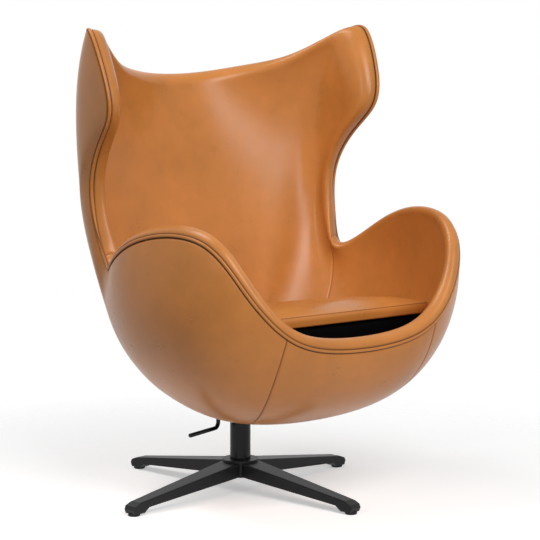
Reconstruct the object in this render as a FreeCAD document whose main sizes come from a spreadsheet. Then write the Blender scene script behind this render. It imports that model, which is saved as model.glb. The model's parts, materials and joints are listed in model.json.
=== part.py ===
import FreeCAD, Part
import Sketcher
import math
import os
import re

# Winged shell lounge chair: a leather-covered moulded shell that swivels and tilts on a four-armed base.
# Millimetres. +Z is up, the sitter faces -Y, and the origin is on the floor under the middle of the chair.
# Every piece is drawn about the column's axis and then set back by column_y.

Vector = FreeCAD.Vector
UP = Vector(0, 0, 1)

# Driving dimensions
SIZES = {
    "column_y": 54,
    # four-armed base
    "arm_turn": 10.2,
    "arm_reach": 364,
    "arm_shoulder": 342,
    "arm_heel": 331,
    "arm_instep": 316,
    "arm_root_width": 60,
    "arm_tip_width": 31,
    "arm_tip_top": 31,
    "arm_tip_under": 17,
    "arm_toe": 20,
    "arm_rounding": 3,
    "hub_radius": 43,
    "hub_top": 78,
    "hub_bottom": 43,
    "glide_circle": 348.5,
    "glide_radius": 14,
    "glide_top": 6,
    "glide_chamfer": 1.5,
    "stud_radius": 4,
    "stud_top": 18,
    # column
    "column_radius": 24.5,
    "column_bore": 21.5,
    "column_foot": 45,
    "column_top": 212,
    "cap_bottom": 33,
    "cap_chamfer": 3,
    "cap_plug_top": 54,
    "bush_flange": 3,
    "lower_bush_foot": 60,
    "lower_bush_top": 92,
    "upper_bush_foot": 170,
    "washer_thickness": 2,
    "washer_radius": 22,
    # swivel spindle
    "spindle_radius": 15,
    "spindle_foot": 56,
    "spindle_top": 276,
    "spindle_chamfer": 2,
    "groove_radius": 13,
    "groove_foot": 57.5,
    "groove_width": 2,
    "clip_radius": 18.5,
    "running_gap": 0.05,
    "fit_gap": 0.1,
    "clearance": 0.4,
    # tilt unit
    "boss_radius": 23,
    "pivot_height": 310,
    "barrel_radius": 30,
    "barrel_bore": 25,
    "barrel_half": 50,
    "barrel_bush_width": 10,
    "shaft_radius": 12,
    "shaft_half": 65,
    "bar_half_width": 15,
    "bar_front": 66,
    "bar_rear": 58,
    "bar_foot": 260,
    "bar_top": 270,
    "buffer_radius": 9,
    "front_buffer_y": 55,
    "front_buffer_gap": 0.5,
    "rear_buffer_y": 47,
    "rear_buffer_height": 8.5,
    "plate_foot": 292,
    "plate_thickness": 6,
    "plate_half_x": 92,
    "plate_half_y": 66,
    "window_half_x": 55.5,
    "window_half_y": 38,
    "ear_thickness": 6,
    "ear_half_width": 24,
    "ear_rise": 22,
    "bolt_x": 76,
    "bolt_y": 51,
    "bolt_radius": 4,
    "bolt_head_radius": 7,
    "bolt_head_height": 5,
    "bolt_length": 26,
    # tilt-lock lever
    "lever_x": 50,
    "lever_y": 20,
    "lever_radius": 5,
    "lever_top": 281,
    "lever_level": 155,
    "lever_bend": 14,
    "lever_reach": 115,
    "lever_heading": 200,
    "lug_reach": 62,
    "lug_half_width": 12,
    "guide_radius": 7,
    "guide_flange_radius": 9.5,
    "guide_flange": 1.5,
    "cam_thickness": 4.5,
    "cam_length": 20,
    "collar_radius": 9,
    "collar_height": 8,
    # moulded shell and its padding
    "wall": 48,
    "hole_radius": 75,
    "hole_height": 213,
    "hole_slope": 16,
    "low_radius": 145,
    "low_spread": 35,
    "low_height": 221,
    "low_slope": 36,
    "belly_width": 335,
    "belly_y": -130,
    "belly_front": 243,
    "belly_back": 260,
    "belly_height": 268,
    "belly_slope": 100,
    "belly_lift": 53,
    "spine_base": 480,
    "spine_y": -130,
    "spine_recline": 0.25,
    "block_opening": 78,
    "welt_width": 10,
    "welt_bulge": 3,
    "trim_thickness": 3,
    # seat
    "board_foot": 356,
    "board_top": 366,
    "deck_top": 433.5,
    "cushion_foot": 434,
    "cushion_seam": 460,
    "cushion_crown": 15,
    "cushion_slope": 5,
    "cushion_half_width": 332,
    "cushion_front": 320,
    "cushion_back": 82,
}

# Stations of the shell's control net, from the front centre round an arm, the notch and a wing to the top centre.
# Each holds its bearing round the column hole, its side point, its rim point, the padded roll's rise,
# the wall's depth at the rim, and how far the roll falls away from the welt to the inside.
STATIONS = [
    (0, (0, -450, 325), (0, -471, 400), 20, 42, 0),
    (16, (130, -450, 330), (150, -468, 412), 20, 42, 0),
    (32, (240, -428, 355), (232, -463, 459), 20, 40, 0),
    (46, (340, -392, 405), (295, -440, 536), 20, 34, 0),
    (58, (400, -345, 465), (330, -405, 613), 20, 32, 0),
    (70, (428, -275, 490), (352, -343, 661), 20, 32, 0),
    (82, (428, -190, 485), (373, -224, 664), 20, 32, 0),
    (93, (410, -100, 460), (388, -100, 632), 18, 33, 0),
    (103, (380, -20, 450), (372, -6, 573), 14, 36, 0),
    (113, (360, 50, 460), (332, 48, 545), 10, 40, 4),
    (124, (348, 117, 550), (348, 80, 625), 12, 40, 12),
    (134, (352, 174, 640), (358, 105, 750), 14, 38, 22),
    (141, (370, 213, 730), (372, 30, 850), 12, 36, 28),
    (146, (383, 220, 790), (388, -52, 910), 10, 32, 28),
    (150, (385, 220, 840), (397, -25, 1010), 10, 28, 26),
    (154, (374, 220, 870), (402, 15, 1092), 8, 24, 20),
    (158, (345, 232, 880), (392, 50, 1104), 10, 24, 18),
    (163, (280, 250, 850), (300, 165, 1020), 18, 34, 14),
    (168, (200, 260, 820), (200, 245, 976), 24, 44, 10),
    (174, (100, 266, 800), (100, 283, 956), 26, 48, 8),
    (180, (0, 268, 790), (0, 288, 950), 26, 48, 8),
]
TOP_STATION = len(STATIONS) - 1
ROUND = 2 * TOP_STATION
NOTCH = 9.35
FRONT_SEAM = 1.85
JOINT_GAP = 0.012

# Layers of the shell's wall, as shares of its thickness from the outside in
OUTER_COVER = (0, 0.10)
CORE = (0.125, 0.25)
FOAM = (0.275, 0.925)
INNER_COVER = (0.95, 1)
FOAM_START = 0.30
INNER_COVER_START = 0.36
CORE_EDGE = 12
CORE_DROP = 0.15
ROLL_EDGE = 0.05

doc = FreeCAD.newDocument("winged_lounge_chair")
sheet = doc.addObject("Spreadsheet::Sheet", "Size")
for row, (alias, number) in enumerate(SIZES.items(), start=1):
    sheet.set(f"A{row}", alias)
    sheet.set(f"B{row}", str(number))
    sheet.setAlias(f"B{row}", alias)
doc.recompute()
sub_parts = []


def size(alias):
    """The sheet's value for one driving dimension."""
    return float(sheet.get(alias))


def bound(text):
    """An expression in which every word is a cell of the sheet."""
    return re.sub(r"\b([a-z][a-z_]+)\b", r"Size.\1", str(text))


def hand_over(piece, label, turn=None):
    """Names a finished piece, sets it on the column's axis and adds it to the sub-parts."""
    piece.Label = label
    if turn is not None:
        piece.Placement = FreeCAD.Placement(Vector(0, 0, 0), FreeCAD.Rotation(UP, 0))
        piece.setExpression("Placement.Rotation.Angle", bound(turn))
    piece.setExpression("Placement.Base.y", bound("column_y"))
    sub_parts.append(piece)
    return piece


# Sketched and turned pieces

def origin_feature(body, role):
    return next(feature for feature in body.Origin.OriginFeatures if feature.Role == role)


def new_sketch(body, name, role):
    sketch = body.newObject("Sketcher::SketchObject", name)
    sketch.AttachmentSupport = (origin_feature(body, role), [""])
    sketch.MapMode = "FlatFace"
    return sketch


def add_outline(sketch, corners):
    """A closed outline whose corners are held by their distances from the origin, as expressions."""
    count = len(corners)
    start = sketch.GeometryCount
    rough = [Vector(9 * math.cos(math.tau * k / count), 9 * math.sin(math.tau * k / count), 0) for k in range(count)]
    for k in range(count):
        sketch.addGeometry(Part.LineSegment(rough[k], rough[(k + 1) % count]))
    for k in range(count):
        following = start + (k + 1) % count
        sketch.addConstraint(Sketcher.Constraint("Coincident", start + k, 2, following, 1))
    for k, (across, along) in enumerate(corners):
        for kind, value, text in (("DistanceX", rough[k].x, across), ("DistanceY", rough[k].y, along)):
            index = sketch.addConstraint(Sketcher.Constraint(kind, -1, 1, start + k, 1, value))
            sketch.setExpression(f"Constraints[{index}]", bound(text))


def add_circle(sketch, across, along, radius):
    """A circle held by its centre's distances and its radius, as expressions."""
    circle = sketch.addGeometry(Part.Circle(Vector(5, 5, 0), UP, 3))
    for kind, text in (("DistanceX", across), ("DistanceY", along)):
        index = sketch.addConstraint(Sketcher.Constraint(kind, -1, 1, circle, 3, 5))
        sketch.setExpression(f"Constraints[{index}]", bound(text))
    index = sketch.addConstraint(Sketcher.Constraint("Radius", circle, 3))
    sketch.setExpression(f"Constraints[{index}]", bound(radius))


def turned_body(name, corners):
    """A body turned about the vertical axis from an outline of (radius, height) corners."""
    body = doc.addObject("PartDesign::Body", name)
    sketch = new_sketch(body, f"{name}_outline", "XZ_Plane")
    add_outline(sketch, corners)
    turning = body.newObject("PartDesign::Revolution", f"{name}_turning")
    turning.Profile = sketch
    turning.ReferenceAxis = (sketch, ["V_Axis"])
    turning.Angle = 360
    return body


def turned_aside(name, label, corners, across, along):
    """A turned piece on an upright axis of its own, beside the column's."""
    piece = turned_body(name, corners)
    piece.Label = label
    piece.setExpression("Placement.Base.x", bound(across))
    piece.setExpression("Placement.Base.y", bound(f"column_y + ({along})"))
    sub_parts.append(piece)


def ring_corners(inner, outer, foot, top):
    return [(inner, foot), (outer, foot), (outer, top), (inner, top)]


# Part primitives

def cylinder(name, radius, length, base, along_x=False):
    """A cylinder whose sizes and foot are expressions; it stands up, or lies along X."""
    piece = doc.addObject("Part::Cylinder", name)
    if along_x:
        piece.Placement = FreeCAD.Placement(Vector(0, 0, 0), FreeCAD.Rotation(Vector(0, 1, 0), 90))
    piece.setExpression("Radius", bound(radius))
    piece.setExpression("Height", bound(length))
    for axis, text in zip("xyz", base):
        piece.setExpression(f"Placement.Base.{axis}", bound(text))
    return piece


def box(name, low, sides):
    piece = doc.addObject("Part::Box", name)
    for axis, text in zip("xyz", low):
        piece.setExpression(f"Placement.Base.{axis}", bound(text))
    for side, text in zip(("Length", "Width", "Height"), sides):
        piece.setExpression(side, bound(text))
    return piece


def fused(name, pieces):
    joined = doc.addObject("Part::MultiFuse", name)
    joined.Shapes = pieces
    return joined


def cut(name, base, tool):
    result = doc.addObject("Part::Cut", name)
    result.Base = base
    result.Tool = tool
    return result


# Base: the star, its glides and the column

def make_star_base():
    """One tapered arm with a stepped foot, repeated round a hub that the column stands in."""
    body = doc.addObject("PartDesign::Body", "star")
    side = new_sketch(body, "arm_side", "XZ_Plane")
    add_outline(side, [
        ("0", "hub_top"), ("arm_shoulder", "arm_tip_top"), ("arm_reach - stud_radius", "arm_toe + stud_radius"),
        ("arm_reach", "arm_toe - stud_radius"), ("arm_reach - stud_radius", "glide_top"),
        ("arm_heel", "glide_top"), ("arm_instep", "arm_tip_under"), ("0", "hub_bottom"),
    ])
    arm = body.newObject("PartDesign::Pad", "arm")
    arm.Profile = side
    arm.SideType = "Symmetric"
    arm.setExpression("Length", bound("arm_root_width"))
    plan = new_sketch(body, "arm_taper", "XY_Plane")
    for sign in ("", "-"):
        add_outline(plan, [
            ("0", f"{sign}arm_root_width / 2"), ("arm_reach", f"{sign}arm_tip_width / 2"),
            ("arm_reach", f"{sign}(arm_root_width / 2 + clearance)"), ("0", f"{sign}(arm_root_width / 2 + clearance)"),
        ])
    taper = body.newObject("PartDesign::Pocket", "taper")
    taper.Profile = plan
    taper.Type = "ThroughAll"
    taper.SideType = "Symmetric"
    stud_plan = new_sketch(body, "stud_plan", "XY_Plane")
    add_circle(stud_plan, "glide_circle", "0", "stud_radius + clearance")
    stud_hole = body.newObject("PartDesign::Pocket", "stud_hole")
    stud_hole.Profile = stud_plan
    stud_hole.Reversed = True
    stud_hole.setExpression("Length", bound("stud_top"))
    arms = body.newObject("PartDesign::PolarPattern", "arms")
    arms.Originals = [arm, taper, stud_hole]
    arms.Axis = (origin_feature(body, "Z_Axis"), [""])
    arms.Angle = 360
    arms.Occurrences = 4
    body.Tip = arms
    hub_plan = new_sketch(body, "hub_plan", "XY_Plane")
    add_circle(hub_plan, "0", "0", "hub_radius")
    hub = body.newObject("PartDesign::Pad", "hub")
    hub.Profile = hub_plan
    hub.setExpression("Length", bound("hub_top"))
    under_plan = new_sketch(body, "hub_under", "XY_Plane")
    add_circle(under_plan, "0", "0", "hub_radius + clearance")
    under = body.newObject("PartDesign::Pocket", "hub_underside")
    under.Profile = under_plan
    under.Reversed = True
    under.setExpression("Length", bound("hub_bottom"))
    bore_plan = new_sketch(body, "bore_plan", "XY_Plane")
    add_circle(bore_plan, "0", "0", "column_radius + clearance")
    bore = body.newObject("PartDesign::Pocket", "column_bore")
    bore.Profile = bore_plan
    bore.Type = "ThroughAll"
    bore.SideType = "Symmetric"
    doc.recompute()
    half_arm = size("arm_reach") / 2
    top_edges = [f"Edge{k}" for k, edge in enumerate(bore.Shape.Edges, start=1)
                 if edge.Length > half_arm and edge.Curve.TypeId == "Part::GeomLine"
                 and edge.CenterOfMass.z > size("hub_bottom")]
    rounding = body.newObject("PartDesign::Fillet", "arm_edges")
    rounding.Base = (bore, top_edges)
    rounding.setExpression("Radius", bound("arm_rounding"))
    return hand_over(body, "star_base", turn="arm_turn")


def make_foot_glides():
    """A chamfered glide on a screwed stud under each foot."""
    for number in range(4):
        glide = turned_body(f"glide_{number}", [
            ("0", "0"), ("glide_radius - glide_chamfer", "0"), ("glide_radius", "glide_chamfer"),
            ("glide_radius", "glide_top"), ("stud_radius", "glide_top"), ("stud_radius", "stud_top"), ("0", "stud_top"),
        ])
        bearing = f"(arm_turn + {90 * number}) * 1 deg"
        glide.Label = f"foot_glide_{number + 1}"
        glide.setExpression("Placement.Base.x", bound("glide_circle * ") + cosine(bearing))
        glide.setExpression("Placement.Base.y", bound("column_y + glide_circle * ") + sine(bearing))
        sub_parts.append(glide)


def cosine(angle):
    return f"cos({bound(angle).replace('Size.deg', 'deg')})"


def sine(angle):
    return f"sin({bound(angle).replace('Size.deg', 'deg')})"


def make_column():
    hand_over(turned_body("tube", ring_corners("column_bore", "column_radius", "column_foot", "column_top")),
              "column_tube")
    fitted = "column_bore - fit_gap"
    hand_over(turned_body("cap", [
        ("0", "cap_bottom"), (f"{fitted} - cap_chamfer", "cap_bottom"), (fitted, "cap_bottom + cap_chamfer"),
        (fitted, "cap_plug_top"), ("0", "cap_plug_top"),
    ]), "base_cap")
    bore = "spindle_radius + running_gap"
    hand_over(turned_body("bush_low", ring_corners(bore, fitted, "lower_bush_foot", "lower_bush_top")), "lower_bush")
    hand_over(turned_body("bush_high", [
        (bore, "upper_bush_foot"), (fitted, "upper_bush_foot"), (fitted, "column_top"),
        ("column_radius", "column_top"), ("column_radius", "column_top + bush_flange"),
        (bore, "column_top + bush_flange"),
    ]), "upper_bush")
    washer_foot = "column_top + bush_flange"
    hand_over(turned_body("washer", ring_corners("spindle_radius + clearance", "washer_radius", washer_foot,
                                                 f"{washer_foot} + washer_thickness")), "thrust_washer")


# Swivel: the spindle and the tilt unit on top of it

def make_spindle():
    hand_over(turned_body("spindle_form", [
        ("0", "spindle_foot"), ("groove_radius", "spindle_foot"), ("groove_radius", "groove_foot + groove_width"),
        ("spindle_radius", "groove_foot + groove_width"), ("spindle_radius", "spindle_top - spindle_chamfer"),
        ("spindle_radius - spindle_chamfer", "spindle_top"), ("0", "spindle_top"),
    ]), "spindle")
    hand_over(turned_body("clip", ring_corners("groove_radius + fit_gap", "clip_radius", "groove_foot",
                                               "groove_foot + groove_width")), "spindle_clip")


def make_tilt_barrel():
    """A cross barrel on a boss, with a stop bar fore and aft and a lug for the lever."""
    boss_foot = "column_top + bush_flange + washer_thickness + clearance"
    solid = fused("barrel_solid", [
        cylinder("barrel_outside", "barrel_radius", "2 * barrel_half", ("-barrel_half", "0", "pivot_height"), True),
        cylinder("boss", "boss_radius", f"pivot_height - ({boss_foot})", ("0", "0", boss_foot)),
        box("stop_bar", ("-bar_half_width", "-bar_front", "bar_foot"),
            ("2 * bar_half_width", "bar_front + bar_rear", "bar_top - bar_foot")),
        box("lever_lug", ("-lug_reach", "lever_y - lug_half_width", "bar_foot"),
            ("lug_reach", "2 * lug_half_width", "bar_top - bar_foot")),
    ])
    hollow = fused("barrel_hollow", [
        cylinder("barrel_inside", "barrel_bore", "2 * barrel_half", ("-barrel_half", "0", "pivot_height"), True),
        cylinder("spindle_socket", "spindle_radius + fit_gap", f"spindle_top - ({boss_foot})", ("0", "0", boss_foot)),
        cylinder("guide_bore", "guide_radius + fit_gap", "bar_top - bar_foot", ("-lever_x", "lever_y", "bar_foot")),
    ])
    return hand_over(cut("barrel", solid, hollow), "tilt_barrel")


def make_barrel_fittings():
    """The rubber torsion sleeve, the two end bushes and the two stop buffers."""
    sleeve = cut("sleeve", cylinder("sleeve_outside", "barrel_bore - fit_gap", "2 * (barrel_half - barrel_bush_width)",
                                    ("barrel_bush_width - barrel_half", "0", "pivot_height"), True),
                 cylinder("sleeve_inside", "shaft_radius + running_gap", "2 * barrel_half",
                          ("-barrel_half", "0", "pivot_height"), True))
    hand_over(sleeve, "torsion_rubber")
    for label, start in (("barrel_bush_left", "-barrel_half"), ("barrel_bush_right", "barrel_half - barrel_bush_width")):
        place = (start, "0", "pivot_height")
        bush = cut(f"{label}_form", cylinder(f"{label}_outside", "barrel_bore - fit_gap", "barrel_bush_width", place, True),
                   cylinder(f"{label}_inside", "shaft_radius + running_gap", "barrel_bush_width", place, True))
        hand_over(bush, label)
    turned_aside("front_pad", "front_stop_buffer", ring_corners("0", "buffer_radius", "bar_top",
                                                               "plate_foot - front_buffer_gap"), "0", "-front_buffer_y")
    turned_aside("rear_pad", "rear_stop_buffer", ring_corners("0", "buffer_radius", "bar_top",
                                                             "bar_top + rear_buffer_height"), "0", "rear_buffer_y")


# Lever: a bent rod in a guide, with a cam and a collar that hold it

def make_lever():
    bore = "lever_radius + running_gap"
    turned_aside("guide", "lever_guide", [
        (bore, "bar_foot - guide_flange"), ("guide_flange_radius", "bar_foot - guide_flange"),
        ("guide_flange_radius", "bar_foot"), ("guide_radius", "bar_foot"), ("guide_radius", "bar_top"),
        (bore, "bar_top"),
    ], "-lever_x", "lever_y")
    collar_top = "bar_foot - guide_flange - clearance"
    turned_aside("collar", "lever_collar", ring_corners("lever_radius + fit_gap", "collar_radius",
                                                        f"{collar_top} - collar_height", collar_top),
                 "-lever_x", "lever_y")
    cam_foot = "bar_top + clearance"
    place = ("-lever_x", "lever_y", cam_foot)
    finger = box("cam_finger", ("-lever_x - lever_radius", "lever_y - cam_length", cam_foot),
                 ("2 * lever_radius", "cam_length", "cam_thickness"))
    cam_solid = fused("cam_solid", [cylinder("cam_disc", "collar_radius", "cam_thickness", place), finger])
    hand_over(cut("cam", cam_solid, cylinder("cam_bore", "lever_radius + fit_gap", "cam_thickness", place)), "lever_cam")
    heading = math.radians(size("lever_heading"))
    outward = Vector(math.cos(heading), math.sin(heading), 0)
    bend = size("lever_bend")
    foot = Vector(-size("lever_x"), size("lever_y"), size("lever_level"))
    top = Vector(foot.x, foot.y, size("lever_top"))
    drop_end = foot + UP * bend
    arm_start = foot + outward * bend
    middle = foot + (outward + UP) * (bend * (1 - math.sqrt(0.5)))
    tip = foot + outward * size("lever_reach")
    path = Part.Wire([
        Part.LineSegment(top, drop_end).toShape(),
        Part.Arc(drop_end, middle, arm_start).toShape(),
        Part.LineSegment(arm_start, tip).toShape(),
    ])
    section = Part.Wire([Part.Circle(top, UP, size("lever_radius")).toShape()])
    rod = doc.addObject("Part::Feature", "rod")
    rod.Shape = path.makePipeShell([section], True, False)
    return hand_over(rod, "lever_rod")


# Shell: a net of control points gives one smooth surface, and every layer is that net drawn inwards

def signed_power(value, power):
    return math.copysign(abs(value) ** power, value)


def net_column(station):
    """The five control points of one station: column hole, low bowl, belly, side and rim."""
    bearing, side, rim = station[:3]
    sine_part = math.sin(math.radians(bearing))
    cosine_part = math.cos(math.radians(bearing))
    low_radius = size("low_radius") + size("low_spread") * cosine_part
    squareness = 0.8 if cosine_part > 0 else 0.8 + 0.25 * cosine_part
    depth = size("belly_front") if cosine_part > 0 else size("belly_back")
    hole = Vector(size("hole_radius") * sine_part, -size("hole_radius") * cosine_part,
                  size("hole_height") - size("hole_slope") * cosine_part)
    low = Vector(low_radius * sine_part, -low_radius * cosine_part,
                 size("low_height") - size("low_slope") * cosine_part)
    belly = Vector(size("belly_width") * signed_power(sine_part, squareness),
                   size("belly_y") - depth * signed_power(cosine_part, squareness),
                   size("belly_height") - size("belly_slope") * cosine_part + size("belly_lift") * cosine_part ** 2)
    return [hole, low, belly, Vector(*side), Vector(*rim)]


def mirrored(point):
    return Vector(-point.x, point.y, point.z)


def toward_spine(point):
    """The unit vector from a point of the shell to the upright spine of the sitting space."""
    height = max(point.z, size("spine_base"))
    spine = Vector(0, size("spine_y") + size("spine_recline") * (height - size("spine_base")), height)
    return (spine - point).normalize()


def all_round(half):
    """The values of one side's stations, and the same again back along the other side."""
    return half + half[-2:0:-1]


HALF_NET = [net_column(station) for station in STATIONS]
FULL_NET = HALF_NET + [[mirrored(point) for point in column] for column in HALF_NET[-2:0:-1]]
INWARD = [[toward_spine(point) for point in column] for column in FULL_NET]
OUT_OF_RIM = [(column[-1] - column[-2]).normalize() for column in FULL_NET]
ROLL_RISE = all_round([station[3] for station in STATIONS])
RIM_DEPTH = all_round([station[4] for station in STATIONS])
ROLL_DROP = all_round([station[5] for station in STATIONS])


def wall_net(share, edge=0, drop=0):
    """The whole net at a share of the wall's depth, with its rim drawn back by an edge and a share of the drop."""
    net = []
    for index in range(ROUND):
        side_depth = (size("wall") + RIM_DEPTH[index]) / 2
        depths = [size("wall")] * 3 + [side_depth, RIM_DEPTH[index]]
        column = [point + inward * (share * depth)
                  for point, inward, depth in zip(FULL_NET[index], INWARD[index], depths)]
        column[-1] = column[-1] - OUT_OF_RIM[index] * (edge + drop * ROLL_DROP[index])
        net.append(column)
    return net


def rim_point(index, share, height):
    """A control point over the rim: its share of the wall's depth, and its height along the shell."""
    return FULL_NET[index][-1] + INWARD[index][-1] * (share * RIM_DEPTH[index]) + OUT_OF_RIM[index] * height


def roll_net(outside, inside, outside_height, inside_height, sink):
    """A padded roll over the rim: a cubic arch from the outside to the inside, falling away to the inside."""
    net = []
    for index in range(ROUND):
        crown = ROLL_RISE[index] - sink
        lift = (8 * crown - outside_height - inside_height) / 6
        drop = ROLL_DROP[index]
        net.append([rim_point(index, outside, outside_height), rim_point(index, outside, lift),
                    rim_point(index, inside, lift - 0.6 * drop), rim_point(index, inside, inside_height - drop)])
    return net


def patch(net, span, start=0, end=1):
    """The smooth surface of a net between two stations, and between two shares of the way up its columns."""
    first = math.floor(span[0])
    last = math.ceil(span[1])
    poles = [net[k % ROUND] for k in range(first - 1, last + 2)]
    rows = len(poles[0])
    degree = min(3, rows - 1)
    row_knots = [k / (rows - degree) for k in range(rows - degree + 1)]
    row_mults = [degree + 1] + [1] * (rows - degree - 1) + [degree + 1]
    knots = [float(k) for k in range(first - 3, last + 4)]
    surface = Part.BSplineSurface()
    surface.buildFromPolesMultsKnots(poles, [1] * len(knots), row_mults, knots, row_knots, False, False, 3, degree)
    surface.segment(span[0], span[1], start, end)
    return surface


def edge_of(surface, u_value=None, v_value=None):
    curve = surface.uIso(u_value) if u_value is not None else surface.vIso(v_value)
    return curve.toShape()


def sewn_solid(faces):
    """One closed solid from faces that meet along their edges."""
    compound = Part.makeCompound(faces)
    compound.sewShape()
    solid = Part.Solid(compound.Shells[0])
    if solid.Volume < 0:
        solid.reverse()
    return solid


def sandwich(spans, layers):
    """A solid between pairs of surfaces. Each layer is (front net, back net, start, end); layers follow on."""
    faces = []
    closed = len(spans) > 1
    for span in spans:
        fronts = [patch(front, span, start, end) for front, back, start, end in layers]
        backs = [patch(back, span, start, end) for front, back, start, end in layers]
        for front, back in zip(fronts, backs):
            faces += [front.toShape(), back.toShape()]
            if not closed:
                faces += [Part.makeRuledSurface(edge_of(front, u_value=u), edge_of(back, u_value=u)) for u in span]
        low = fronts[0].bounds()[2]
        high = fronts[-1].bounds()[3]
        faces.append(Part.makeRuledSurface(edge_of(fronts[0], v_value=low), edge_of(backs[0], v_value=low)))
        faces.append(Part.makeRuledSurface(edge_of(fronts[-1], v_value=high), edge_of(backs[-1], v_value=high)))
    return sewn_solid(faces)


ALL_ROUND = [(0, TOP_STATION), (TOP_STATION, ROUND)]


def shell_feature(label, shape):
    """A piece of the shell, set on the column's axis after its shape."""
    piece = doc.addObject("Part::Feature", f"{label}_form")
    piece.Shape = shape
    return hand_over(piece, label)


def make_core():
    """The moulded fibreglass shell."""
    core = sandwich(ALL_ROUND, [(wall_net(CORE[0], CORE_EDGE, CORE_DROP), wall_net(CORE[1], CORE_EDGE, CORE_DROP), 0, 1)])
    shell_feature("shell_core", core)


def make_outer_cover():
    """Leather outside panels: the front between two seams, and two sides that meet down the back."""
    outside = wall_net(OUTER_COVER[0], size("welt_width"))
    inside = wall_net(OUTER_COVER[1], size("welt_width"))
    panels = {
        "outer_cover_front": (JOINT_GAP - FRONT_SEAM, FRONT_SEAM - JOINT_GAP),
        "outer_cover_right": (FRONT_SEAM + JOINT_GAP, TOP_STATION - JOINT_GAP),
        "outer_cover_left": (TOP_STATION + JOINT_GAP, ROUND - FRONT_SEAM - JOINT_GAP),
    }
    for label, span in panels.items():
        shell_feature(label, sandwich([span], [(outside, inside, 0, 1)]))


PADS = {
    "front": (-3.2, 3.2),
    "arm_right": (3.2, NOTCH),
    "wing_right": (NOTCH, 16.5),
    "back": (16.5, ROUND - 16.5),
    "wing_left": (ROUND - 16.5, ROUND - NOTCH),
    "arm_left": (ROUND - NOTCH, ROUND - 3.2),
}


def inset(span):
    return (span[0] + JOINT_GAP, span[1] - JOINT_GAP)


def make_padding():
    """Foam pads on the inside of the shell, and the edge roll that rounds the rim over them."""
    outside = wall_net(FOAM[0], CORE_EDGE, CORE_DROP)
    inside = wall_net(FOAM[1], CORE_EDGE, 1)
    roll_foot = 1 - CORE_EDGE
    arch = roll_net(0.2, FOAM[1], roll_foot, roll_foot, 4)
    chord = [[column[0], column[0] * (2 / 3) + column[3] * (1 / 3), column[0] * (1 / 3) + column[3] * (2 / 3),
              column[3]] for column in arch]
    for place, span in PADS.items():
        shell_feature(f"foam_{place}", sandwich([inset(span)], [(outside, inside, FOAM_START, 1)]))
        shell_feature(f"edge_roll_{place}", sandwich([inset(span)], [(arch, chord, ROLL_EDGE, 1 - ROLL_EDGE)]))


def make_inner_cover():
    """Leather lining of the back with its wings, and of the arms and front, rolled out over the rim to the welt."""
    face = wall_net(INNER_COVER[1], drop=1)
    lining = wall_net(INNER_COVER[0], drop=1)
    face_roll = [column[::-1] for column in roll_net(0, INNER_COVER[1], 1, 0, 0)]
    lining_roll = [column[::-1] for column in roll_net(0.09, INNER_COVER[0], 1, 0, 2.5)]
    layers = [(face, lining, INNER_COVER_START, 1), (face_roll, lining_roll, 0, 1)]
    shell_feature("inner_cover_back", sandwich([inset((NOTCH, ROUND - NOTCH))], layers))
    shell_feature("inner_cover_seat", sandwich([inset((-NOTCH, NOTCH))], layers))


def make_welt():
    """The leather welt sewn between the outer and inner covers, round the whole rim."""
    root_share = 0.09
    low = 1 - size("welt_width")
    face = []
    root = []
    for index in range(ROUND):
        bulge_share = root_share - 4 / 3 * (size("welt_bulge") / RIM_DEPTH[index] + root_share)
        shares = (root_share, bulge_share, bulge_share, root_share)
        face.append([rim_point(index, share, height) for share, height in zip(shares, (low, low, 0, 0))])
        root.append([rim_point(index, root_share, height) for height in (low, low * 2 / 3, low / 3, 0)])
    faces = [patch(net, span).toShape() for net in (face, root) for span in ALL_ROUND]
    shell_feature("rim_welt", sewn_solid(faces))


def make_underside():
    """The ring that trims the column hole, and the laminated block that gives the plate a flat seat."""
    reach = 0.06
    ring_share = -size("trim_thickness") / size("wall")
    gap_share = -0.01
    shell_feature("underside_ring", sandwich(ALL_ROUND, [(wall_net(ring_share), wall_net(gap_share), 0, reach)]))
    block_reach = 0.17
    bottom = wall_net(FOAM[0])
    top = [[Vector(point.x, point.y, size("plate_foot")) for point in column] for column in bottom]
    block = sandwich(ALL_ROUND, [(bottom, top, 0, block_reach)])
    tools = [Part.makeCylinder(size("block_opening"), size("plate_foot"))]
    for x_side, y_side in ((1, 1), (1, -1), (-1, 1), (-1, -1)):
        axis_foot = Vector(x_side * size("bolt_x"), y_side * size("bolt_y"), 0)
        tools.append(Part.makeCylinder(size("bolt_radius") + size("clearance"), size("plate_foot"), axis_foot))
    shell_feature("floor_block", block.cut(tools))


# Seat plate, shaft and bolts

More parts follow.
